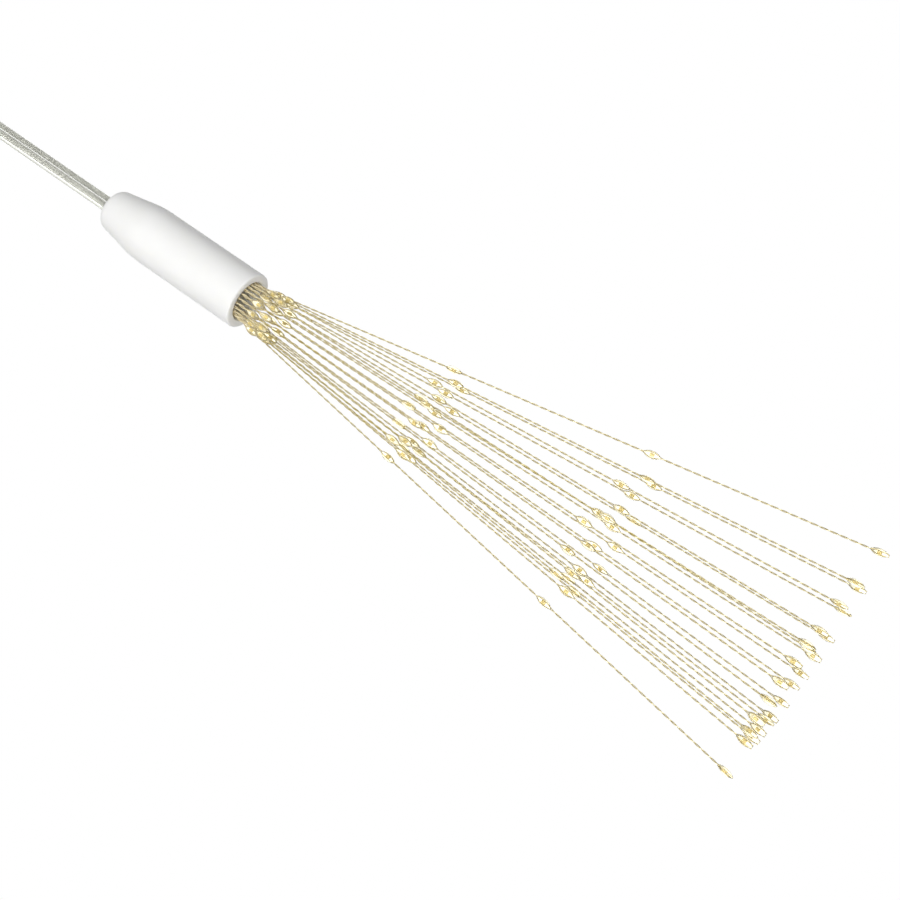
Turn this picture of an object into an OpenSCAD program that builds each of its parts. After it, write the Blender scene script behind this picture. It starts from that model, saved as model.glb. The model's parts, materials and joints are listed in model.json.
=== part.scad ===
// Hanging firecracker light: a moulded sleeve on a flat twin lead, with a spray of fine
// wire strands that carry drop-shaped LEDs. Millimetres, +Z up. The origin is the point
// where the lead enters the sleeve, and the strands hang down from the sleeve's mouth.

/* [Sleeve] */
// Outside diameter of the straight part
sleeve_d = 14.5; // [14:0.1:18]
// Length from the rear face to the mouth
sleeve_len = 45; // [43:0.5:60]
// Thickness of the side wall
sleeve_wall = 2.1; // [1.8:0.05:2.2]
// Thickness of the rear wall, which the lead passes through
rear_wall = 3; // [2:0.1:4]
// Length of the tapered rear part
taper_len = 12.5; // [10:0.5:14]
// Diameter at the rear face, before its edge is rounded
rear_d = 10; // [9:0.1:11]
// Radius of the rounded rear edge
rear_round = 2.6; // [1:0.1:3]
// Radius that eases the taper into the straight part
taper_blend = 25; // [10:1:40]
// Radius of the rounded rim at the mouth
rim_round = 0.5; // [0.2:0.05:0.6]

/* [Strands] */
// Diameter of each of the two wires twisted into a strand
wire_d = 0.22; // [0.18:0.01:0.24]
// Distance from the mouth to the plane of the strand tips
reach = 155; // [150:1:200]
// Gap between the strand roots and the bore of the sleeve
root_gap = 0.33; // [0.2:0.01:0.5]
// Distance outside the mouth at which a strand bends
bend_out = 0.6; // [0.5:0.05:1]
// Gap between a fixed root and the strand that bends from it
bend_gap = 0.08; // [0.05:0.01:0.15]

/* [LEDs] */
// Distance of the first LED from the mouth
led_first = 7; // [5:0.5:12]
// Distance of the second LED from the mouth
led_second = 53.5; // [40:0.5:60]
// Distance of the third LED from the mouth
led_third = 102.5; // [90:0.5:110]
// How far LEDs sit before or after that on every other strand
led_stagger = 1.7; // [1.6:0.05:2]
// Length of a clear drop
drop_len = 4.2; // [3.8:0.1:4.6]
// Thickness of a clear drop at its middle
drop_d = 1.9; // [1.7:0.05:2]
// Length of the LED chip inside a drop
chip_len = 1; // [0.6:0.05:1.2]
// Width of the LED chip
chip_w = 0.6; // [0.4:0.05:0.7]
// Thickness of the LED chip
chip_t = 0.35; // [0.2:0.05:0.4]
// Bond gap between a drop and what it encloses
bond_gap = 0.02; // [0.01:0.01:0.04]

/* [Lead] */
// Diameter of each insulated core of the flat twin lead
core_d = 2.4; // [1.8:0.05:2.4]
// Thickness of the web between the two cores
web_t = 0.9; // [0.5:0.1:1.5]
// Free length from the sleeve to the connector
lead_len = 44; // [30:1:80]
// Length of lead inside the sleeve
tail_len = 8; // [6:0.5:9]
// Turn of the lead about its own length, from the X axis
lead_turn = 53; // [0:1:60]
// Clearance of the lead in the rear wall
lead_fit = 0.1; // [0.05:0.01:0.2]

/* [Splice] */
// Diameter of a bared conductor
conductor_d = 1; // [0.6:0.05:1.2]
// Distance of each ferrule from the sleeve's axis
ferrule_offset = 2.35; // [2.3:0.05:2.5]
// Bore of a ferrule
ferrule_bore = 2.9; // [2.85:0.01:2.95]
// Wall of a ferrule
ferrule_wall = 0.3; // [0.2:0.01:0.32]
// Length of a ferrule
ferrule_len = 6; // [5:0.5:7]
// Wall of the shrink tube over a ferrule
shrink_wall = 0.35; // [0.2:0.01:0.38]
// Length of shrink tube past each end of its ferrule
shrink_past = 0.5; // [0.3:0.1:0.6]
// Clearance between pieces that are slipped over each other
slip_fit = 0.05; // [0.02:0.01:0.06]
// Distance from the end of the lead's sheath to the ferrules
splice_gap = 4; // [3.5:0.5:5]

/* [Potting] */
// Depth of the potting below the mouth
potting_depth = 12; // [8:0.5:13]
// Thickness of the potting
potting_t = 5; // [4:0.5:6]

/* [Connector] */
// Length of the tapered boot on the lead
boot_len = 12; // [8:0.5:20]
// Diameter of the boot where the lead enters it
boot_d = 5.6; // [5:0.1:6]
// Diameter of the connector body
plug_d = 9.2; // [8.8:0.1:9.6]
// Length of the connector body behind its collar
plug_len = 10; // [9:0.5:14]
// Diameter of the collar that keeps the coupling nut on
collar_d = 10.8; // [10.4:0.1:11]
// Thickness of the collar
collar_t = 2; // [1.5:0.1:3]
// Diameter of the spigot
spigot_d = 7.2; // [6.8:0.1:7.6]
// Length of the spigot
spigot_len = 7; // [6:0.5:9]
// Thickness of the seal ring
seal_d = 1.6; // [1.2:0.1:1.8]
// Depth of the groove that holds the seal ring
groove_depth = 0.5; // [0.3:0.05:0.6]
// Diameter of a contact pin
pin_d = 1.5; // [1.2:0.05:1.8]
// Distance between the two contact pins
pin_pitch = 3.6; // [3.2:0.1:3.8]
// How far the contact pins stand out of the spigot
pin_out = 4; // [3:0.5:5]
// Depth of the contact pins in the spigot
pin_depth = 5; // [3:0.5:6]
// Outside diameter of the coupling nut, without its ribs
nut_d = 12.4; // [12.2:0.1:13]
// Length of the coupling nut
nut_len = 20; // [19:0.5:24]
// Thickness of the lip that turns behind the collar
nut_lip = 3; // [2:0.1:4]
// Running clearance of the coupling nut on the body and collar
nut_fit = 0.2; // [0.1:0.01:0.25]
// Number of grip ribs around the coupling nut
rib_count = 20; // [8:1:24]
// Height of a grip rib
rib_h = 0.35; // [0.2:0.05:0.5]
// Width of a grip rib
rib_w = 0.8; // [0.5:0.1:1]

/* [Hidden] */
$fn = 64;
// Number of steps in each arc of an outline
arc_steps = 10;

// Radius of each strand's tip from the axis, chosen by eye, one strand after another round the ring
tip_radii = [18, 17.5, 18.5, 18, 18, 24.5, 15.5, 14.5, 13.5, 16, 15, 9.5,
             14, 17, 19, 23, 26, 33, 24, 19.5, 14, 11, 18.5, 20];
strand_count = len(tip_radii);
strand_step = 360 / strand_count;
// The ring starts at the side nearest the viewer, half a step past the middle
first_azimuth = -90 - strand_step / 2;

strand_d = 2 * wire_d;
strand_r = strand_d / 2;
sleeve_r = sleeve_d / 2;
bore_r = sleeve_r - sleeve_wall;
ring_r = bore_r - root_gap - strand_r;
mouth_z = -sleeve_len;
bend_z = mouth_z - bend_out;
root_end_z = bend_z + strand_r + bend_gap;
led_last = reach - drop_len / 2;

// The taper of the sleeve, as an angle from its axis
rear_r = rear_d / 2;
taper = atan((sleeve_r - rear_r) / taper_len);
inner_rear_r = rear_r - sleeve_wall / cos(taper);
inner_taper_len = (bore_r - inner_rear_r) / tan(taper);

// The splice, from the end of the lead's sheath down to the strand roots
ferrule_top_z = -tail_len - splice_gap;
ferrule_bottom_z = ferrule_top_z - ferrule_len;
ferrule_r = ferrule_bore / 2 + ferrule_wall;
conductor_end_z = ferrule_top_z - ferrule_len / 2;
splice_r = ferrule_bore / 2 - slip_fit - strand_r;
splice_top_z = conductor_end_z - conductor_d / 4;
splice_bottom_z = ferrule_bottom_z - shrink_past - conductor_d / 4;
potting_z = mouth_z + potting_depth;
spread_z = potting_z + potting_t + strand_d;
// The ferrules stand across the sleeve, three strand steps from the X axis, close to the lead's turn
splice_turn = 3 * strand_step;

// The connector, from the lead's far end up
plug_z = lead_len + boot_len;
collar_z = plug_z + plug_len;
spigot_z = collar_z + collar_t;
spigot_top_z = spigot_z + spigot_len;
spigot_r = spigot_d / 2;
seal_seat_r = spigot_r - groove_depth;
seal_z = spigot_z + seal_d;
nut_z = collar_z - nut_fit - nut_lip;
nut_bore_r = collar_d / 2 + nut_fit;
// What a cut runs past a face
past = 1;
// How much thicker a bent wire is at its elbow, and how far inside it each stretch ends, in diameters
elbow_swell = 1.15;
elbow_trim = 0.22;

function two_digits(k) = str(k < 10 ? "0" : "", k);
function strand_name(k) = str("strand_wire_", two_digits(k + 1));
function drops_name(k) = str("led_drops_", two_digits(k + 1));

function azimuth(k) = first_azimuth - k * strand_step;
function lean(k) = atan((tip_radii[k] - ring_r) / (reach - bend_out));
// Distance along a strand from its bend, at a distance from the mouth
function along(k, from_mouth) = (from_mouth - bend_out) / cos(lean(k));
function stagger(k) = k % 2 == 0 ? led_stagger : -led_stagger;
function led_places(k) = [led_first + stagger(k), led_second + stagger(k), led_third + stagger(k), led_last];
function polar(r, a, z) = [r * cos(a), r * sin(a), z];
function arc(centre, r, from, to) =
    [for (i = [0 : arc_steps])
        let (a = from + (to - from) * i / arc_steps) centre + r * [cos(a), sin(a)]];

// Outline of the flat twin lead, grown by a clearance
module lead_outline(grow = 0) {
    for (side = [-1, 1]) translate([side * core_d / 2, 0]) circle(d = core_d + 2 * grow);
    square([core_d, web_t + 2 * grow], center = true);
}

// A round rod from one point to another
module rod(from, to, d) {
    v = to - from;
    flat = norm([v.x, v.y]);
    translate(from)
        rotate([0, atan2(flat, v.z), flat > 0 ? atan2(v.y, v.x) : 0])
            cylinder(d = d, h = norm(v));
}

// A round wire through a row of points. Its stretches end inside round elbows, short of each other.
module wire_run(points, d) {
    last = len(points) - 2;
    for (i = [0 : last]) {
        way = points[i + 1] - points[i];
        trim = way / norm(way) * d * elbow_trim;
        rod(points[i] + (i > 0 ? trim : [0, 0, 0]), points[i + 1] - (i < last ? trim : [0, 0, 0]), d);
    }
    for (i = [1 : last]) translate(points[i]) sphere(d = d * elbow_swell);
}

// Places what is drawn along +Z on a strand, from its bend outwards
module on_strand(k) {
    rotate([0, 0, azimuth(k)])
        translate([ring_r, 0, bend_z])
            rotate([0, 180 - lean(k), 0]) children();
}

module sleeve() {
    rear_centre = [rear_r - rear_round * (1 - sin(taper)) / cos(taper), -rear_round];
    blend_centre = [sleeve_r - taper_blend, -taper_len - taper_blend * tan(taper / 2)];
    outer_rim = [sleeve_r - rim_round, mouth_z + rim_round];
    inner_rim = [bore_r + rim_round, mouth_z + rim_round];
    outline = concat(
        [[0, 0]],
        arc(rear_centre, rear_round, 90, taper),
        arc(blend_centre, taper_blend, taper, 0),
        arc(outer_rim, rim_round, 0, -90),
        arc(inner_rim, rim_round, -90, -180),
        [[bore_r, -inner_taper_len],
         [inner_rear_r + rear_wall * tan(taper), -rear_wall],
         [0, -rear_wall]]);
    color("white") difference() {
        rotate_extrude() polygon(outline);
        translate([0, 0, -rear_wall - past])
            rotate([0, 0, lead_turn])
                linear_extrude(rear_wall + 2 * past) lead_outline(lead_fit);
    }
}

module lead_cord() {
    color("gainsboro") rotate([0, 0, lead_turn]) linear_extrude(lead_len) lead_outline();
}

module lead_tail() {
    color("gainsboro") translate([0, 0, -tail_len])
        rotate([0, 0, lead_turn]) linear_extrude(tail_len) lead_outline();
}

module bare_cores() {
    color("peru") for (side = [0, 180]) {
        in_lead = polar(core_d / 2, lead_turn + side, -tail_len);
        in_ferrule = polar(ferrule_offset, splice_turn + side, ferrule_top_z + conductor_d / 2);
        wire_run([in_lead, in_lead - [0, 0, conductor_d], in_ferrule,
                  [in_ferrule.x, in_ferrule.y, conductor_end_z]], conductor_d);
    }
}

// One tube at each ferrule's place
module ferrule_tubes(inner_r, outer_r, bottom_z, length) {
    for (side = [0, 180])
        translate(polar(ferrule_offset, splice_turn + side, bottom_z))
            difference() {
                cylinder(r = outer_r, h = length);
                translate([0, 0, -past]) cylinder(r = inner_r, h = length + 2 * past);
            }
}

module splice_ferrules() {
    color("silver") ferrule_tubes(ferrule_bore / 2, ferrule_r, ferrule_bottom_z, ferrule_len);
}

module shrink_tubes() {
    inner_r = ferrule_r + slip_fit;
    color("dimgray") ferrule_tubes(inner_r, inner_r + shrink_wall, ferrule_bottom_z - shrink_past,
                                   ferrule_len + 2 * shrink_past);
}

module potting_plug() {
    color("wheat") translate([0, 0, potting_z]) difference() {
        cylinder(r = bore_r - slip_fit, h = potting_t);
        for (k = [0 : strand_count - 1])
            translate(polar(ring_r, azimuth(k), -past))
                cylinder(r = strand_r + bond_gap, h = potting_t + 2 * past);
    }
}

// The fixed inner ends of the strands: half of them run to each ferrule
module strand_roots() {
    color("goldenrod") for (k = [0 : strand_count - 1]) {
        // The turn from the nearer ferrule, between -90 and 90 degrees
        turn = (azimuth(k) - splice_turn + 90 + 720) % 180 - 90;
        ferrule_azimuth = azimuth(k) - turn;
        centre = polar(ferrule_offset, ferrule_azimuth, 0);
        seat = centre + polar(splice_r, ferrule_azimuth + 2 * turn, 0);
        wire_run([polar(ring_r, azimuth(k), root_end_z), polar(ring_r, azimuth(k), spread_z),
                  seat + [0, 0, splice_bottom_z], seat + [0, 0, splice_top_z]], strand_d);
    }
}

module plug_body() {
    outline = [[0, lead_len], [boot_d / 2, lead_len], [plug_d / 2 - rim_round, plug_z],
               [plug_d / 2, plug_z + rim_round], [plug_d / 2, collar_z],
               [collar_d / 2, collar_z], [collar_d / 2, spigot_z], [spigot_r, spigot_z],
               [spigot_r, spigot_top_z - rim_round], [spigot_r - rim_round, spigot_top_z],
               [0, spigot_top_z]];
    color("whitesmoke") difference() {
        rotate_extrude() polygon(outline);
        translate([0, 0, seal_z]) rotate_extrude()
            translate([seal_seat_r + seal_d / 2, 0]) circle(d = seal_d);
        for (side = [-1, 1])
            translate([side * pin_pitch / 2, 0, spigot_top_z - pin_depth])
                cylinder(d = pin_d + 2 * bond_gap, h = pin_depth + past);
    }
}

module contact_pins() {
    color("silver") for (side = [-1, 1])
        translate([side * pin_pitch / 2, 0, spigot_top_z - pin_depth]) {
            cylinder(d = pin_d, h = pin_depth + pin_out - pin_d / 4);
            translate([0, 0, pin_depth + pin_out - pin_d / 4])
                cylinder(d1 = pin_d, d2 = pin_d / 2, h = pin_d / 4);
        }
}

module coupling_nut() {
    color("whitesmoke") translate([0, 0, nut_z]) difference() {
        union() {
            cylinder(d = nut_d, h = nut_len);
            for (i = [0 : rib_count - 1])
                rotate([0, 0, i * 360 / rib_count])
                    translate([nut_d / 2 - rib_h, -rib_w / 2, nut_lip])
                        cube([2 * rib_h, rib_w, nut_len - 2 * nut_lip]);
        }
        translate([0, 0, -past]) cylinder(d = plug_d + 2 * nut_fit, h = nut_len);
        translate([0, 0, nut_lip]) cylinder(r = nut_bore_r, h = nut_len);
    }
}

module seal_ring() {
    color("dimgray") translate([0, 0, seal_z]) rotate_extrude()
        translate([seal_seat_r + seal_d / 2 + bond_gap, 0]) circle(d = seal_d - 2 * bond_gap);
}

// The free part of a strand, from its rounded inner end at the bend to its tip
module strand_wire(k) {
    outline = concat(arc([0, 0], strand_r, -90, 0),
                     [[strand_r, along(k, reach)], [0, along(k, reach)]]);
    color("goldenrod") on_strand(k) rotate_extrude() polygon(outline);
}

// Outline of half a clear drop about its bore
function drop_outline() =
    let (bore = strand_r + bond_gap,
         crown = drop_d / 2 - bore,
         // A circle through the middle and both pointed ends
         round_r = (pow(drop_len / 2, 2) + pow(crown, 2)) / (2 * crown),
         half_angle = asin(drop_len / 2 / round_r))
    arc([bore + crown - round_r, 0], round_r, -half_angle, half_angle);

module led_drops(k) {
    for (place = led_places(k)) on_strand(k) translate([0, 0, along(k, place)]) {
        chip_from = strand_r + bond_gap;
        color("khaki", 0.6) difference() {
            rotate_extrude() polygon(drop_outline());
            translate([0, -chip_w / 2 - bond_gap, -chip_len / 2 - bond_gap])
                cube([chip_from + chip_t + bond_gap, chip_w + 2 * bond_gap, chip_len + 2 * bond_gap]);
        }
        color("gold") translate([chip_from, -chip_w / 2, -chip_len / 2])
            cube([chip_t, chip_w, chip_len]);
    }
}

sleeve();
lead_cord();
lead_tail();
bare_cores();
splice_ferrules();
shrink_tubes();
potting_plug();
strand_roots();
plug_body();
contact_pins();
coupling_nut();
seal_ring();
for (k = [0 : strand_count - 1]) {
    strand_wire(k);
    led_drops(k);
}
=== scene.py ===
"""Looks of a hanging firecracker light: a white sleeve on a clear twin lead, with a spray of
twisted wire strands that carry LEDs in clear drops. Metres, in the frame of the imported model."""

import json
import math
import random

import bmesh
import bpy
from mathutils import Matrix, Vector


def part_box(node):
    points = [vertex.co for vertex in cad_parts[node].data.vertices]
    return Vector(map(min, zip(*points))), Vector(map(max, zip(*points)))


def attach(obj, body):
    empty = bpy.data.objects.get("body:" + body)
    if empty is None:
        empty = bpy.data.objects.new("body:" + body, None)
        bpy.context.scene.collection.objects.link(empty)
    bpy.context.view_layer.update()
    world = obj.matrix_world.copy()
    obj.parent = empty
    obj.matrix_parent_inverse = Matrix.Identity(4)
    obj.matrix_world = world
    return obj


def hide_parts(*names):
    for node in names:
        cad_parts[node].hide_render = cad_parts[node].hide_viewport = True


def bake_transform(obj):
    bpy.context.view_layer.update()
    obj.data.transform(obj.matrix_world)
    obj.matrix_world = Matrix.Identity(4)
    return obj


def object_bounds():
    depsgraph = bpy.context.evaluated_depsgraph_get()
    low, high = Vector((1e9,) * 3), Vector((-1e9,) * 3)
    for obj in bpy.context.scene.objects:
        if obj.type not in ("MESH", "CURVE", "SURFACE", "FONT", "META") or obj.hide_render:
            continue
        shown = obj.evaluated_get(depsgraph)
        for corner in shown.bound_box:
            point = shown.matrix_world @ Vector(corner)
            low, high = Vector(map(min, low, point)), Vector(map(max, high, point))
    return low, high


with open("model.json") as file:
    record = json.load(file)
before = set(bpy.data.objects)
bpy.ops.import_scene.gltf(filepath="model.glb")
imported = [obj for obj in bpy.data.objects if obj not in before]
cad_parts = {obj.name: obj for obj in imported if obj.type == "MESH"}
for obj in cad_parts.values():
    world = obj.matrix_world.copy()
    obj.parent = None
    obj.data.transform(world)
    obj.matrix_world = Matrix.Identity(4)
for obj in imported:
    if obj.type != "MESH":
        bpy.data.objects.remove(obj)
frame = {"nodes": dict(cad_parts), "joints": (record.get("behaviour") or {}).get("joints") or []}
cad_low, cad_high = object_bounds()

MM = 0.001
TURN = 2 * math.pi

# Camera, in the photograph's place
CAMERA_AT = (-0.0017, -0.3605, -0.2247)
CAMERA_LENS = 67.04
CAMERA_SENSOR = 36
CAMERA_NEAR = 0.01
LOOK_UP = math.radians(18)
PICTURE_ROLL = math.radians(34.7)

# Sleeve
SLEEVE_WALL = 2.1 * MM
REAR_WALL = 3 * MM
TAPER_LENGTH = 12.5 * MM
REAR_RADIUS = 5 * MM
REAR_ROUND = 2.6 * MM
TAPER_BLEND = 25 * MM
RIM_ROUND = 0.5 * MM
SLEEVE_SIDES = 144
STRAIGHT_ROWS = 8
STRAIGHT_INSET = 2 * MM

# Flat twin lead
CORE_WIDTH = 2.4 * MM
WEB = 0.9 * MM
LEAD_TURN = math.radians(53)
LEAD_FIT = 0.1 * MM
LEAD_LENGTH = 44 * MM
LEAD_TAIL = 8 * MM
LEAD_STEPS = 20
LEAD_SIDES = 72
CONDUCTOR_RADII = (0.53 * MM, 0.5 * MM)
CONDUCTOR_SHIFTS = (0.3 * MM, 0.2 * MM)
CONDUCTOR_PITCH = 6 * MM
CONDUCTOR_LOBES = 9
LOBE_SIDES = 4
LOBE_DEPTH = 0.2
CONDUCTOR_ROWS = 240

# Strands
WIRE_RADIUS = 0.09 * MM
PAIR_RADIUS = 0.12 * MM
TWIST_PITCH = 4.7 * MM
PITCH_SPREAD = 0.06
STRAND_STEP = 0.4 * MM
CORNER_EASE = 2 * MM
CORNER_STEPS = 8
WIRE_SIDES = 8
WIRE_SHARP_ANGLE = 70
ROOT_COAT = 0.6
ROOT_COAT_LENGTH = 9 * MM
BLEND_OUTSIDE = 3 * MM
CHANCE_SEED = 24

# Drops
DROP_LENGTH = 4.2 * MM
DROP_WIDTH = 1.9 * MM
DROP_THICKNESS = 1.5 * MM
DROP_END = 0.18
DROP_FULLNESS = 2.2
DROP_PLUMP = (0.9, 1.06)
DROP_LEAN = 0.12
DROP_SIDES = 20
DROP_ROWS = 15
DROP_SHARP_ANGLE = 60
EYE_RADIUS = 0.56 * MM
EYE_REACH = 0.62 * DROP_LENGTH
EYE_TIP_CLOSING = 0.2
CHIP = (0.6 * MM, 0.35 * MM, 1.0 * MM)
CHIP_CORNERS = ((-1, -1), (1, -1), (1, 1), (-1, 1))

# Connector at the far end of the lead
BOOT_LENGTH = 12 * MM
BOOT_RADIUS = 2.8 * MM
BOOT_GROOVES = 5
BOOT_GROOVE_DEPTH = 0.45 * MM
PLUG_RADIUS = 4.6 * MM
PLUG_LENGTH = 10 * MM
COLLAR_RADIUS = 5.4 * MM
COLLAR_THICKNESS = 2 * MM
SPIGOT_RADIUS = 3.6 * MM
SPIGOT_LENGTH = 7 * MM
EDGE_ROUND = 0.5 * MM
SEAL_RADIUS = 0.8 * MM
SEAL_RING_RADIUS = 3.9 * MM
CONNECTOR_SIDES = 96
PIN_RADIUS = 0.75 * MM
PIN_OFFSET = 1.8 * MM
PIN_DEPTH = 5 * MM
PIN_OUT = 4 * MM
PIN_SIDES = 32
NUT_RADIUS = 6.2 * MM
NUT_LIP = 3 * MM
NUT_LIP_BORE = 4.8 * MM
NUT_BORE = 5.6 * MM
NUT_RIBS = 20
NUT_ROWS = 48
RIB_WIDTH = 0.8 * MM
RIB_HEIGHT = 0.35 * MM
RIB_FLANK = 0.25 * MM
RIB_SIDES = 12
THREAD_PITCH = 2 * MM
THREAD_DEPTH = 0.35 * MM
THREAD_LENGTH = 9 * MM
PLUG_Z = LEAD_LENGTH + BOOT_LENGTH
COLLAR_Z = PLUG_Z + PLUG_LENGTH
SPIGOT_Z = COLLAR_Z + COLLAR_THICKNESS
SPIGOT_TOP_Z = SPIGOT_Z + SPIGOT_LENGTH

# Splice inside the sleeve, where the strands end
FERRULE_OFFSET = 2.35 * MM
SPLICE_RADIUS = 1.18 * MM
SPLICE_TURN = math.radians(45)
SPLICE_TOP_Z = -15.25 * MM
SPLICE_BOTTOM_Z = -18.75 * MM
SPREAD_Z = -27.56 * MM

# Wire finish: the enamel colour, darker as painted shade where the two wires face each other, a painted
# highlight on the outer crowns, and the root glue
ENAMEL_AND_SHADE = (0.44, 0.36, 0.14)
PAINTED_HIGHLIGHT = (0.97, 0.875, 0.52)
ROOT_GLUE = (0.90, 0.79, 0.54)
HIGHLIGHT_FROM = 0.68
HIGHLIGHT_TO = 0.92

# Floor and light
FLOOR_Z = cad_low.z - 0.25
FLOOR_SIZE = 60
FLOOR_SHADE = 0.93
FLOOR_GLOW = 0.88
FADE_FROM = 0.5
FADE_TO = 1.1
AMBIENT = 0.32
AMBIENT_LEAN = 0.6


class Value:
    """A shader socket that takes part in Python arithmetic: each operation adds a Math node."""

    def __init__(self, sheet, socket):
        self.sheet = sheet
        self.socket = socket

    def _math(self, operation, *terms):
        return self.sheet.node("ShaderNodeMath", {"operation": operation}, dict(enumerate(terms)))

    def __add__(self, other):
        return self._math("ADD", self, other)

    def __mul__(self, other):
        return self._math("MULTIPLY", self, other)

    def __sub__(self, other):
        return self._math("SUBTRACT", self, other)

    def __rsub__(self, other):
        return self._math("SUBTRACT", other, self)

    __radd__ = __add__
    __rmul__ = __mul__

    def larger(self, other):
        return self._math("MAXIMUM", self, other)


class Sheet:
    """A node tree, with the one method that adds nodes to it."""

    def __init__(self, tree):
        self.tree = tree

    def node(self, kind, settings=None, inputs=None, output=0):
        made = self.tree.nodes.new(kind)
        for name, value in (settings or {}).items():
            if name == "stops":
                self._stops(made.color_ramp, value)
            else:
                setattr(made, name, value)
        for name, value in (inputs or {}).items():
            self.feed(made.inputs[name], value)
        return Value(self, made.outputs[output])

    def _stops(self, ramp, stops):
        while len(ramp.elements) < len(stops):
            ramp.elements.new(1)
        for element, (place, colour) in zip(ramp.elements, stops):
            element.position = place
            element.color = (*colour, 1)

    def feed(self, socket, value):
        if isinstance(value, Value):
            self.tree.links.new(value.socket, socket)
        else:
            socket.default_value = value


class Finish(Sheet):
    """A surface finish: a material with one main shader."""

    def __init__(self, name):
        self.material = bpy.data.materials.new(name)
        self.material.use_nodes = True
        super().__init__(self.material.node_tree)
        self.shader = self.tree.nodes["Principled BSDF"]
        self.place = self.node("ShaderNodeTexCoord", output="Object")

    def set(self, **sockets):
        for name, value in sockets.items():
            self.feed(self.shader.inputs[name.replace("_", " ")], value)

    def noise(self, size, detail=3, place=None):
        """Noise with features of about that size, in metres."""
        return self.node("ShaderNodeTexNoise", None,
                         {"Vector": place or self.place, "Scale": 1 / size, "Detail": detail})

    def point_value(self, name):
        """A number that a piece keeps at each of its points."""
        return self.node("ShaderNodeAttribute", {"attribute_name": name}, output="Fac")

    def ramp(self, mask, *stops):
        return self.node("ShaderNodeValToRGB", {"stops": stops}, {"Fac": mask})

    def shades(self, mask, dark, light):
        """Two close shades of one colour, spread over a noise."""
        return self.ramp(mask, (0.3, dark), (0.7, light))

    def mixed(self, mask, under, over):
        """One colour over another, as far as the mask lets it."""
        return self.node("ShaderNodeMix", {"data_type": "RGBA"}, {0: mask, 6: under, 7: over}, output=2)

    def bump(self, height, depth):
        self.set(Normal=self.node("ShaderNodeBump", None, {"Height": height, "Distance": depth}))


def rgba(red, green, blue):
    return (red, green, blue, 1)


def white_plastic():
    """Satin moulded plastic with a faint cloudiness and a fine skin."""
    finish = Finish("white_plastic")
    clouds = finish.noise(9 * MM)
    finish.set(Base_Color=finish.shades(clouds, (0.93, 0.93, 0.905), (0.955, 0.955, 0.93)),
               Roughness=0.42 + 0.12 * finish.noise(2.5 * MM), Specular_IOR_Level=0.08,
               Subsurface_Weight=0.5, Subsurface_Radius=(1, 1, 0.9), Subsurface_Scale=1.2 * MM)
    finish.bump(finish.noise(0.35 * MM, 2), 0.001 * MM)
    return finish.material


def clear_jacket():
    """Clear soft plastic with faint drawing streaks along the lead."""
    finish = Finish("clear_jacket")
    drawn_out = finish.node("ShaderNodeVectorMath", {"operation": "MULTIPLY"},
                            {0: finish.place, 1: (1, 1, 0.04)})
    streaks = finish.noise(0.5 * MM, place=drawn_out)
    finish.set(Base_Color=finish.shades(streaks, (0.94, 0.945, 0.905), (0.96, 0.965, 0.935)),
               Transmission_Weight=1, IOR=1.42, Roughness=0.04 + 0.08 * streaks)
    return finish.material


def tinned_wire():
    """Dull tinned copper."""
    finish = Finish("tinned_wire")
    patches = finish.noise(0.5 * MM)
    finish.set(Base_Color=finish.shades(patches, (0.66, 0.66, 0.61), (0.88, 0.88, 0.83)),
               Metallic=0.6, Roughness=0.5 + 0.2 * patches)
    return finish.material


def champagne_wire():
    """Enamelled wire of a pale brassy colour, with a painted highlight on the crowns of the twist and
    painted shade on the sides where the two wires face each other, and coated with glue at the root."""
    finish = Finish("champagne_wire")
    patches = finish.noise(1.6 * MM)
    glue = finish.point_value("glue")
    # The point value is 1 on the side of each wire away from its partner and -1 on the side facing it:
    # the ramp paints a highlight on the outer crown and leaves painted shade between the wires.
    highlight_mask = finish.point_value("crown") + 0.3 * (patches - 0.5)
    wire = finish.ramp(highlight_mask, (HIGHLIGHT_FROM, ENAMEL_AND_SHADE), (HIGHLIGHT_TO, PAINTED_HIGHLIGHT))
    finish.set(Base_Color=finish.mixed(0.8 * glue, wire, rgba(*ROOT_GLUE)),
               Metallic=0.85 - 0.75 * glue, Roughness=0.3 + 0.15 * patches)
    return finish.material


def drop_resin():
    """Clear cast resin with a pale yellow cast."""
    finish = Finish("drop_resin")
    clouds = finish.noise(0.8 * MM)
    finish.set(Base_Color=finish.shades(clouds, (0.99, 0.925, 0.69), (1.0, 0.95, 0.75)),
               Transmission_Weight=0.86, IOR=1.28, Roughness=0.12 + 0.1 * clouds)
    return finish.material


def chip_phosphor():
    """The yellow phosphor of an unlit LED."""
    finish = Finish("chip_phosphor")
    grains = finish.noise(0.15 * MM)
    finish.set(Base_Color=finish.shades(grains, (0.94, 0.74, 0.25), (1.0, 0.85, 0.36)),
               Roughness=0.45 + 0.2 * grains)
    return finish.material


def shrink_tube():
    """Black shrink tube with fine wrinkles."""
    finish = Finish("shrink_tube")
    wrinkles = finish.noise(0.6 * MM)
    finish.set(Base_Color=finish.shades(wrinkles, (0.025, 0.025, 0.027), (0.05, 0.05, 0.052)),
               Roughness=0.5 + 0.2 * wrinkles)
    finish.bump(wrinkles, 0.03 * MM)
    return finish.material


def hot_glue():
    """Cloudy set glue."""
    finish = Finish("hot_glue")
    clouds = finish.noise(2 * MM)
    finish.set(Base_Color=finish.shades(clouds, (0.66, 0.60, 0.45), (0.80, 0.75, 0.60)),
               Roughness=0.28 + 0.2 * clouds)
    finish.bump(clouds, 0.15 * MM)
    return finish.material


def plated_pin():
    """Bright nickel plate with handling scuffs."""
    finish = Finish("plated_pin")
    scuffs = finish.noise(0.7 * MM)
    finish.set(Base_Color=finish.shades(scuffs, (0.66, 0.64, 0.60), (0.78, 0.77, 0.74)),
               Metallic=1.0, Roughness=0.16 + 0.2 * scuffs)
    return finish.material


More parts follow.
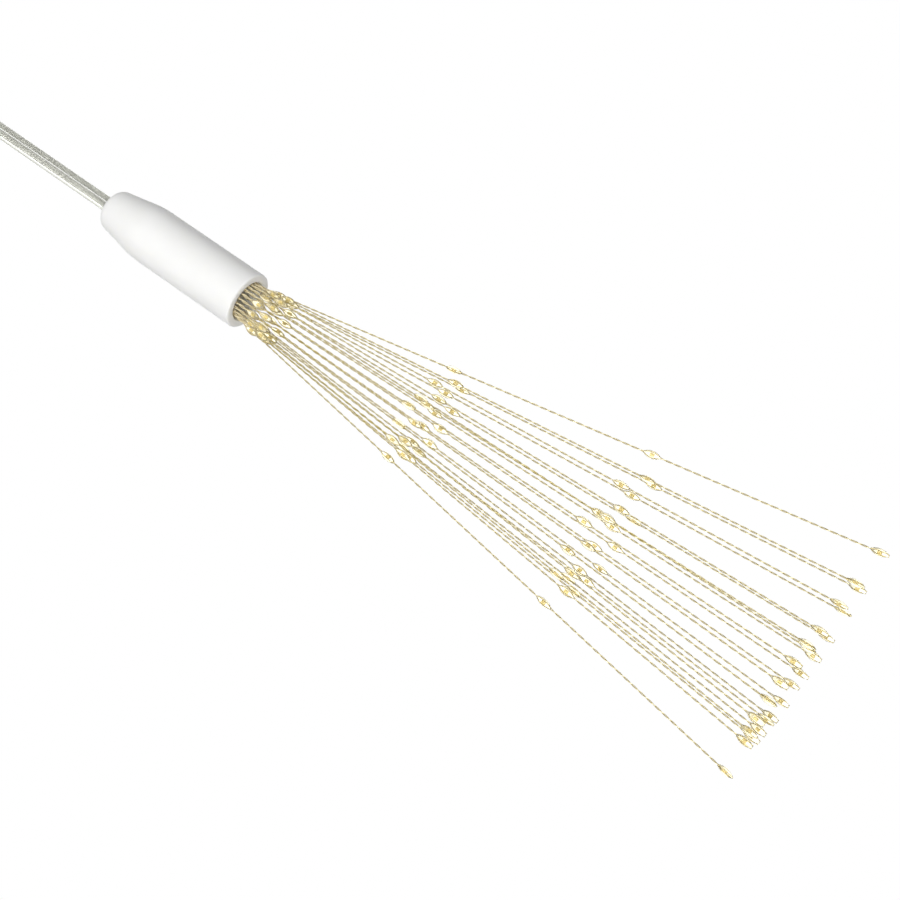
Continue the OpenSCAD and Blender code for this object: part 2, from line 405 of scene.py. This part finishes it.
def seal_rubber():
    """Dark moulded rubber."""
    finish = Finish("seal_rubber")
    bloom = finish.noise(1 * MM)
    finish.set(Base_Color=finish.shades(bloom, (0.03, 0.03, 0.03), (0.06, 0.06, 0.06)),
               Roughness=0.55 + 0.2 * bloom)
    return finish.material


WHITE = white_plastic()
CLEAR = clear_jacket()
TINNED = tinned_wire()
CHAMPAGNE = champagne_wire()
RESIN = drop_resin()
PHOSPHOR = chip_phosphor()
SHRINK = shrink_tube()
GLUE = hot_glue()
PLATED = plated_pin()
RUBBER = seal_rubber()


def solid(name, points, faces, materials, sharp_angle=35):
    """A smooth-shaded piece whose edges over an angle stay sharp, with its normals outwards."""
    mesh = bpy.data.meshes.new(name)
    mesh.from_pydata(points, [], faces)
    shape = bmesh.new()
    shape.from_mesh(mesh)
    bmesh.ops.recalc_face_normals(shape, faces=shape.faces)
    shape.to_mesh(mesh)
    shape.free()
    mesh.shade_smooth()
    mesh.set_sharp_from_angle(angle=math.radians(sharp_angle))
    for material in materials:
        mesh.materials.append(material)
    made = bpy.data.objects.new(name, mesh)
    bpy.context.scene.collection.objects.link(made)
    return made


def ring_faces(first, rows, sides, closed):
    """Quads between rows of points, each row a ring of that many sides."""
    faces = []
    for row in range(rows if closed else rows - 1):
        this_row = first + row * sides
        next_row = first + (row + 1) % rows * sides
        for side in range(sides):
            beside = (side + 1) % sides
            faces.append((this_row + side, this_row + beside, next_row + beside, next_row + side))
    return faces


def tube_faces(first, rows, sides):
    """Faces of a tube from rows of points, with both its ends closed."""
    last = first + (rows - 1) * sides
    ends = [tuple(range(start, start + sides)) for start in (first, last)]
    return ring_faces(first, rows, sides, closed=False) + ends


def lathe(outline, segments, shape=None):
    """An outline of (radius, z) points turned about Z. Where shape is given, it changes the radius."""
    points = []
    for radius, z in outline:
        for i in range(segments):
            angle = TURN * i / segments
            r = shape(radius, z, angle) if shape else radius
            points.append((r * math.cos(angle), r * math.sin(angle), z))
    return points


def turned(name, outline, segments, material, shape=None):
    """A piece that is turned from a closed outline."""
    points = lathe(outline, segments, shape)
    return solid(name, points, ring_faces(0, len(outline), segments, closed=True), [material])


def arc(centre, radius, start, end, steps=10):
    """Points on an arc, with angles in degrees."""
    found = []
    for i in range(steps + 1):
        angle = math.radians(start + (end - start) * i / steps)
        found.append((centre[0] + radius * math.cos(angle), centre[1] + radius * math.sin(angle)))
    return found


def row_of(start, end, count):
    """Evenly spaced points from start to end, both included."""
    return [tuple(a + (b - a) * i / count for a, b in zip(start, end)) for i in range(count + 1)]


def between_0_and_1(number):
    return min(1, max(0, number))


def polar(radius, angle, z):
    return Vector((radius * math.cos(angle), radius * math.sin(angle), z))


def lead_edge(angle):
    """Distance from the lead's axis to its outline, in a direction round it."""
    across = abs(math.cos(angle - LEAD_TURN))
    along = abs(math.sin(angle - LEAD_TURN))
    web = min(WEB / 2 / max(along, 1e-6), CORE_WIDTH / 2 / max(across, 1e-6))
    return max(CORE_WIDTH * across, web)


def fit(piece, body, slot, *nodes):
    """Puts a piece on its body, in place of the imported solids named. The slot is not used."""
    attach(piece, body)
    if nodes:
        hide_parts(*nodes)


# Camera
forward = Vector((0, math.cos(LOOK_UP), math.sin(LOOK_UP)))
hang = Vector((0, math.sin(LOOK_UP), -math.cos(LOOK_UP)))
aside = Vector((-1, 0, 0))
right = math.cos(PICTURE_ROLL) * hang - math.sin(PICTURE_ROLL) * aside
upward = -math.sin(PICTURE_ROLL) * hang - math.cos(PICTURE_ROLL) * aside
camera_turn = Matrix((right, upward, -forward)).transposed().to_4x4()
camera = bpy.data.objects.new("camera", bpy.data.cameras.new("camera"))
camera.data.lens = CAMERA_LENS
camera.data.sensor_width = CAMERA_SENSOR
camera.data.clip_start = CAMERA_NEAR
camera.matrix_world = Matrix.Translation(CAMERA_AT) @ camera_turn
bpy.context.scene.collection.objects.link(camera)
bpy.context.scene.camera = camera


def lead_jacket():
    """The clear jacket of the free lead, with closed ends, and the route that it follows."""

    def edge(radius, z, angle):
        return lead_edge(angle)

    route = row_of((0, 0, 0), (0, 0, LEAD_LENGTH), LEAD_STEPS)
    points = lathe([(0, z) for x, y, z in route], LEAD_SIDES, edge)
    faces = tube_faces(0, len(route), LEAD_SIDES)
    return solid("lead_jacket", points, faces, [CLEAR]), route


def lead_conductors():
    """Two stranded conductors, which run the whole length of the lead."""
    sides = LOBE_SIDES * CONDUCTOR_LOBES
    points, faces = [], []
    for turn, radius, shift in zip((0, math.pi), CONDUCTOR_RADII, CONDUCTOR_SHIFTS):
        faces += tube_faces(len(points), CONDUCTOR_ROWS, sides)
        middle = polar(CORE_WIDTH / 2, LEAD_TURN + turn, 0)
        for row in range(CONDUCTOR_ROWS):
            z = -LEAD_TAIL + (LEAD_LENGTH + LEAD_TAIL) * row / (CONDUCTOR_ROWS - 1)
            off_centre = Vector((shift * between_0_and_1(z / CORE_WIDTH), 0, 0))
            for i in range(sides):
                angle = TURN * i / sides
                lobe = abs(math.cos(CONDUCTOR_LOBES / 2 * angle))
                reach = radius * (1 - LOBE_DEPTH + LOBE_DEPTH * lobe)
                lay = angle + TURN * z / CONDUCTOR_PITCH
                points.append(middle + off_centre + polar(reach, lay, z))
    return solid("lead_conductors", points, faces, [TINNED])


def connector_shell():
    """The connector's moulded body: a grooved boot, the grip, the collar and the spigot."""
    outline = [(0, LEAD_LENGTH)]
    groove_pitch = BOOT_LENGTH / (2 * BOOT_GROOVES + 1)
    swell = (PLUG_RADIUS - EDGE_ROUND - BOOT_RADIUS) / BOOT_LENGTH
    for i in range(2 * BOOT_GROOVES + 1):
        depth = BOOT_GROOVE_DEPTH * (i % 2)
        for z in (i * groove_pitch, (i + 1) * groove_pitch):
            outline.append((BOOT_RADIUS + swell * z - depth, LEAD_LENGTH + z))
    outline += arc((PLUG_RADIUS - EDGE_ROUND, PLUG_Z + EDGE_ROUND), EDGE_ROUND, -90, 0)
    outline += [(PLUG_RADIUS, COLLAR_Z), (COLLAR_RADIUS, COLLAR_Z), (COLLAR_RADIUS, SPIGOT_Z),
                (SPIGOT_RADIUS, SPIGOT_Z)]
    seal_centre = (SEAL_RING_RADIUS, SPIGOT_Z + 2 * SEAL_RADIUS)
    half_groove = math.degrees(math.acos((SEAL_RING_RADIUS - SPIGOT_RADIUS) / SEAL_RADIUS))
    outline += arc(seal_centre, SEAL_RADIUS, 180 + half_groove, 180 - half_groove)
    outline += arc((SPIGOT_RADIUS - EDGE_ROUND, SPIGOT_TOP_Z - EDGE_ROUND), EDGE_ROUND, 0, 90)
    outline += [(0, SPIGOT_TOP_Z)]
    return turned("connector_shell", outline, CONNECTOR_SIDES, WHITE)


def contact_rods():
    """Two contact pins with rounded ends."""
    top = SPIGOT_TOP_Z + PIN_OUT
    outline = [(0, SPIGOT_TOP_Z - PIN_DEPTH), (PIN_RADIUS, SPIGOT_TOP_Z - PIN_DEPTH)]
    outline += arc((PIN_RADIUS - EDGE_ROUND, top - EDGE_ROUND), EDGE_ROUND, 0, 90)
    outline += [(0, top)]
    points, faces = [], []
    for offset in (-PIN_OFFSET, PIN_OFFSET):
        faces += ring_faces(len(points), len(outline), PIN_SIDES, closed=True)
        points += [(x + offset, y, z) for x, y, z in lathe(outline, PIN_SIDES)]
    return solid("contact_rods", points, faces, [PLATED])


def nut_shell():
    """The coupling nut: ribbed outside, with rounded edges and a screw thread in its mouth."""
    low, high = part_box("coupling_nut")
    lip_top = low.z + NUT_LIP
    ribs_top = high.z - NUT_LIP
    thread_top = high.z - EDGE_ROUND
    thread_low = thread_top - THREAD_LENGTH
    outline = [(NUT_LIP_BORE, low.z)]
    outline += arc((NUT_RADIUS - EDGE_ROUND, low.z + EDGE_ROUND), EDGE_ROUND, -90, 0)
    outline += row_of((NUT_RADIUS, lip_top), (NUT_RADIUS, ribs_top), NUT_ROWS)
    outline += arc((NUT_RADIUS - EDGE_ROUND, high.z - EDGE_ROUND), EDGE_ROUND, 0, 90)
    outline += row_of((NUT_BORE, high.z), (NUT_BORE, thread_low), NUT_ROWS)
    outline += [(NUT_BORE, lip_top), (NUT_LIP_BORE, lip_top)]

    def ribs_and_thread(r, z, angle):
        if r == NUT_RADIUS and lip_top < z < ribs_top:
            from_rib = abs(angle / TURN * NUT_RIBS % 1 - 0.5) * TURN * NUT_RADIUS / NUT_RIBS
            return r + RIB_HEIGHT * between_0_and_1((RIB_WIDTH / 2 - from_rib) / RIB_FLANK + 0.5)
        if r == NUT_BORE and thread_low < z < thread_top:
            run_in = min(1, (z - thread_low) / THREAD_PITCH, (thread_top - z) / THREAD_PITCH)
            return r - run_in * THREAD_DEPTH * (0.5 - 0.5 * math.cos(TURN * z / THREAD_PITCH - angle))
        return r

    return turned("nut_shell", outline, RIB_SIDES * NUT_RIBS, WHITE, ribs_and_thread)


# Lead and its connector
connector = connector_shell()
contacts = contact_rods()
nut = nut_shell()
jacket, lead_route = lead_jacket()
conductors = lead_conductors()
fit(connector, "sleeve", "white_plastic", "plug_body")
fit(contacts, "sleeve", "nickel", "contact_pins")
fit(nut, "coupling_nut", "white_plastic", "coupling_nut")
fit(jacket, "sleeve", "clear_pvc", "lead_cord")
fit(conductors, "sleeve", "tinned_copper")


def sleeve_shell():
    """The sleeve: tapered at the rear round the lead's slot, open at its rounded mouth."""
    low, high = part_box("sleeve")
    radius = high.x
    bore = radius - SLEEVE_WALL
    taper = math.atan((radius - REAR_RADIUS) / TAPER_LENGTH)
    degrees = math.degrees(taper)
    inner_rear = REAR_RADIUS - SLEEVE_WALL / math.cos(taper)
    rear_centre = (REAR_RADIUS - REAR_ROUND * (1 - math.sin(taper)) / math.cos(taper), -REAR_ROUND)
    blend_z = -TAPER_LENGTH - TAPER_BLEND * math.tan(taper / 2)
    rim_z = low.z + RIM_ROUND
    straight = [(radius, blend_z - STRAIGHT_INSET), (radius, rim_z + STRAIGHT_INSET)]
    outline = [(0, 0)]
    outline += arc(rear_centre, REAR_ROUND, 90, degrees)
    outline += arc((radius - TAPER_BLEND, blend_z), TAPER_BLEND, degrees, 0)
    outline += row_of(*straight, STRAIGHT_ROWS)
    outline += arc((radius - RIM_ROUND, rim_z), RIM_ROUND, 0, -90)
    outline += arc((bore + RIM_ROUND, rim_z), RIM_ROUND, -90, -180)
    outline += [(bore, -(bore - inner_rear) / math.tan(taper)),
                (inner_rear + REAR_WALL * math.tan(taper), -REAR_WALL),
                (0, -REAR_WALL)]

    def with_slot(r, z, angle):
        return max(r, lead_edge(angle) + LEAD_FIT)

    return turned("sleeve_shell", outline, SLEEVE_SIDES, WHITE, with_slot)


fit(sleeve_shell(), "sleeve", "white_plastic", "sleeve")


def eased_line(corners, ease, step):
    """Evenly stepped points along straight stretches whose corners are eased into curves.
    Gives the points, each with its distance along the line, and the distance of each corner."""
    line = [corners[0]]
    for before, corner, after in zip(corners, corners[1:], corners[2:]):
        enter = corner + (before - corner).normalized() * ease
        leave = corner + (after - corner).normalized() * ease
        for i in range(CORNER_STEPS + 1):
            t = i / CORNER_STEPS
            line.append(enter * (1 - t) ** 2 + corner * 2 * t * (1 - t) + leave * t * t)
    line.append(corners[-1])
    lengths = [0]
    for a, b in zip(line, line[1:]):
        lengths.append(lengths[-1] + (b - a).length)
    curve_middles = lengths[1 + CORNER_STEPS // 2:-1:CORNER_STEPS + 1]
    marks = [lengths[0], *curve_middles, lengths[-1]]
    count = math.ceil(lengths[-1] / step)
    points = []
    at = 0
    for i in range(count + 1):
        want = lengths[-1] * i / count
        while at < len(line) - 2 and lengths[at + 1] < want:
            at += 1
        share = (want - lengths[at]) / (lengths[at + 1] - lengths[at])
        points.append((want, line[at].lerp(line[at + 1], share)))
    return points, marks


def drop_places(number, bend, way):
    """Distance of each drop's middle from the bend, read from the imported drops."""
    packed = frame["nodes"][f"led_drops_{number}"].data.vertices
    reached = sorted((v.co - bend).dot(way) for v in packed)
    groups = [[reached[0]]]
    for distance in reached[1:]:
        if distance - groups[-1][-1] > DROP_LENGTH:
            groups.append([])
        groups[-1].append(distance)
    return [(group[0] + group[-1]) / 2 for group in groups]


def strand_tip(number):
    """Middle of the end face of a packed strand."""
    vertices = [v.co for v in frame["nodes"][f"strand_wire_{number}"].data.vertices]
    lowest = min(v.z for v in vertices)
    end = [v for v in vertices if v.z < lowest + WIRE_RADIUS]
    return sum(end, Vector()) / len(end)


def splice_seat(azimuth, z):
    """Where a strand sits in the nearer of the two ferrules."""
    turn = (azimuth - SPLICE_TURN + math.pi / 2) % math.pi - math.pi / 2
    ferrule = azimuth - turn
    return polar(FERRULE_OFFSET, ferrule, z) + polar(SPLICE_RADIUS, ferrule + 2 * turn, 0)


def pair_spread(distance, places):
    """Distance of each wire from the strand's middle, and how much of the twist is left there.
    The wires part round each LED, and stay apart past the last one."""
    spread, twist = PAIR_RADIUS, 1
    for place in places:
        t = (distance - place) / EYE_REACH
        if place == places[-1] and t > 0:
            return EYE_RADIUS * (1 - EYE_TIP_CLOSING * t), 0
        if abs(t) < 1:
            eye = math.cos(math.pi / 2 * t) ** 2
            spread = PAIR_RADIUS + (EYE_RADIUS - PAIR_RADIUS) * eye
            twist = 1 - min(1, 2 * eye)
    return spread, twist


def keep_at_points(piece, name, values):
    """Keeps a number at each point of a piece, for its finish."""
    kept = piece.data.attributes.new(name, "FLOAT", "POINT")
    kept.data.foreach_set("value", values)


def strand(number, joint, chance):
    """One strand: two twisted wires from its ferrule to its tip. Gives the place and the directions
    of its free part, and the turn of the pair at each LED."""
    bend = Vector(joint["pos_m"])
    azimuth = math.atan2(bend.y, bend.x)
    tip = strand_tip(number)
    way = (tip - bend).normalized()
    places = drop_places(number, bend, way)
    corners = [splice_seat(azimuth, SPLICE_TOP_Z), splice_seat(azimuth, SPLICE_BOTTOM_Z),
               polar(Vector((bend.x, bend.y)).length, azimuth, SPREAD_Z), bend, tip]
    line, marks = eased_line(corners, CORNER_EASE, STRAND_STEP)
    bend_run = marks[-2]
    sideways = Vector(joint["axis"])
    phase = chance.uniform(0, TURN)
    pitch = TWIST_PITCH * chance.uniform(1 - PITCH_SPREAD, 1 + PITCH_SPREAD)
    wires = ([], [])
    glued = []
    phases = {}
    for i, (run, middle) in enumerate(line):
        ahead = line[min(i + 1, len(line) - 1)][1] - line[max(i - 1, 0)][1]
        across = ahead.normalized().cross(sideways).normalized()
        distance = run - bend_run
        spread, twist = pair_spread(distance, places)
        glued.append(between_0_and_1(1 - distance / ROOT_COAT_LENGTH))
        coat = 1 + ROOT_COAT * glued[-1]
        phase += TURN * twist * STRAND_STEP / pitch
        for place in places:
            if abs(distance - place) < STRAND_STEP:
                phases[place] = phase
        out = across * math.cos(phase) + sideways * math.sin(phase)
        for side, wire in zip((1, -1), wires):
            for k in range(WIRE_SIDES):
                angle = phase + TURN * k / WIRE_SIDES
                round_wire = across * math.cos(angle) + sideways * math.sin(angle)
                wire.append(middle + side * coat * (out * spread + round_wire * WIRE_RADIUS))
    points, faces = [], []
    for wire in wires:
        faces += tube_faces(len(points), len(line), WIRE_SIDES)
        points += wire
    piece = solid(f"strand_pair_{number}", points, faces, [CHAMPAGNE], WIRE_SHARP_ANGLE)
    # 1 on the side of each wire away from its partner and -1 where it faces it; the finish turns this
    # into a painted highlight on the crown and painted shade between the wires.
    crown_highlights = [math.cos(TURN * k / WIRE_SIDES) for k in range(WIRE_SIDES)]
    keep_at_points(piece, "crown", crown_highlights * (2 * len(line)))
    keep_at_points(piece, "glue", [share for share in 2 * glued for k in range(WIRE_SIDES)])
    bend + way * BLEND_OUTSIDE
    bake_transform(piece)
    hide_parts(f"strand_wire_{number}", "strand_roots")
    return bend, way, sideways, phases


def drops(number, bend, way, sideways, phases, chance):
    """The clear drops of one strand, each flattened along its parted wires, with the chip between
    them."""
    across = way.cross(sideways).normalized()
    seats = []
    for place, phase in sorted(phases.items()):
        wide = across * math.cos(phase) + sideways * math.sin(phase)
        seats.append((bend + way * place, wide, way.cross(wide)))
    points, faces = [], []
    for middle, wide, thin in seats:
        faces += tube_faces(len(points), DROP_ROWS, DROP_SIDES)
        plump = chance.uniform(*DROP_PLUMP)
        lean = chance.uniform(-DROP_LEAN, DROP_LEAN)
        for row in range(DROP_ROWS):
            t = -1 + 2 * row / (DROP_ROWS - 1)
            swell = (1 - abs(t) ** DROP_FULLNESS) * (1 + lean * t)
            girth = plump * (DROP_END + (1 - DROP_END) * swell)
            for i in range(DROP_SIDES):
                angle = TURN * i / DROP_SIDES
                points.append(middle + way * t * DROP_LENGTH / 2
                              + wide * math.cos(angle) * girth * DROP_WIDTH / 2
                              + thin * math.sin(angle) * girth * DROP_THICKNESS / 2)
    resin_faces = len(faces)
    chip_wide, chip_thin, chip_long = CHIP
    for middle, wide, thin in seats:
        faces += tube_faces(len(points), 2, len(CHIP_CORNERS))
        for end in (-1, 1):
            end_middle = middle + way * end * chip_long / 2
            for x, y in CHIP_CORNERS:
                points.append(end_middle + wide * x * chip_wide / 2 + thin * y * chip_thin / 2)
    piece = solid(f"clear_drops_{number}", points, faces, [RESIN, PHOSPHOR], DROP_SHARP_ANGLE)
    for face in piece.data.polygons[resin_faces:]:
        face.material_index = 1
    fit(piece, f"strand_{number}", "led_epoxy", f"led_drops_{number}")


# Strands and their drops
seeded = random.Random(CHANCE_SEED)
for joint in frame["joints"]:
    if joint["name"].startswith("strand_"):
        strand_number = joint["child"].split("_")[1]
        drops(strand_number, *strand(strand_number, joint, seeded), seeded)


def dress(node, material):
    """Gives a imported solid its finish."""
    piece = frame["nodes"][node]
    piece.data.materials.clear()
    piece.data.materials.append(material)


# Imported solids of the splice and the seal
dress("lead_tail", CLEAR)
dress("bare_cores", TINNED)
dress("splice_ferrules", TINNED)
dress("shrink_tubes", SHRINK)
dress("potting_plug", GLUE)
dress("seal_ring", RUBBER)


def pale_floor():
    """A pale floor that keeps the object's shadow, and fades into the white background further off."""
    finish = Finish("pale_floor")
    finish.set(Base_Color=rgba(FLOOR_SHADE, FLOOR_SHADE, FLOOR_SHADE), Roughness=0.8)
    seen = finish.node("ShaderNodeLightPath", output="Is Camera Ray")
    away = finish.node("ShaderNodeVectorMath", {"operation": "LENGTH"}, {0: finish.place},
                       output="Value")
    fade = finish.node("ShaderNodeMapRange", None, {"Value": away, "From Min": FADE_FROM,
                                                    "From Max": FADE_TO, "To Min": FLOOR_GLOW})
    glow = finish.node("ShaderNodeEmission", None, {"Color": rgba(1, 1, 1), "Strength": 1.0})
    lit = Value(finish, finish.shader.outputs[0])
    shown = finish.node("ShaderNodeMixShader", None, {0: fade * seen, 1: lit, 2: glow})
    finish.feed(finish.tree.nodes["Material Output"].inputs["Surface"], shown)
    return finish.material


def floor_plate():
    """One wide square below the object."""
    half = FLOOR_SIZE / 2
    corners = [(-half, -half, FLOOR_Z), (half, -half, FLOOR_Z), (half, half, FLOOR_Z),
               (-half, half, FLOOR_Z)]
    mesh = bpy.data.meshes.new("floor")
    mesh.from_pydata(corners, [], [(0, 1, 2, 3)])
    mesh.materials.append(pale_floor())
    made = bpy.data.objects.new("floor", mesh)
    bpy.context.scene.collection.objects.link(made)
    return made


def white_room():
    """A white background that also gives a soft light, more from the front than from behind."""
    world = bpy.data.worlds.new("white_room")
    world.use_nodes = True
    room = Sheet(world.node_tree)
    direction = room.node("ShaderNodeTexCoord", output="Generated")
    behind = room.node("ShaderNodeSeparateXYZ", None, {0: direction}, output="Y")
    ambient = AMBIENT - AMBIENT * AMBIENT_LEAN * behind
    seen = room.node("ShaderNodeLightPath", output="Is Camera Ray")
    for ray in ("Is Glossy Ray", "Is Transmission Ray"):
        seen = seen.larger(room.node("ShaderNodeLightPath", output=ray))
    background = world.node_tree.nodes["Background"]
    room.feed(background.inputs["Color"], rgba(1, 1, 1))
    room.feed(background.inputs["Strength"], ambient + (1 - ambient) * seen)
    return world


def soft_light(name, place, power, size):
    """A square lamp that faces the middle of the object."""
    lamp = bpy.data.objects.new(name, bpy.data.lights.new(name, "AREA"))
    lamp.data.energy = power
    lamp.data.size = size
    lamp.location = place
    middle = (cad_low + cad_high) / 2
    lamp.rotation_euler = (middle - Vector(place)).to_track_quat("-Z", "Y").to_euler()
    bpy.context.scene.collection.objects.link(lamp)


# Floor, world and lamps
floor_plate()
bpy.context.scene.world = white_room()
soft_light("key_light", place=(-0.25, -0.89, -0.15), power=5.3, size=0.5)
soft_light("back_light", place=(0.05, 0.95, 0.2), power=4.2, size=1.2)
bpy.context.scene.view_settings.view_transform = "Standard"
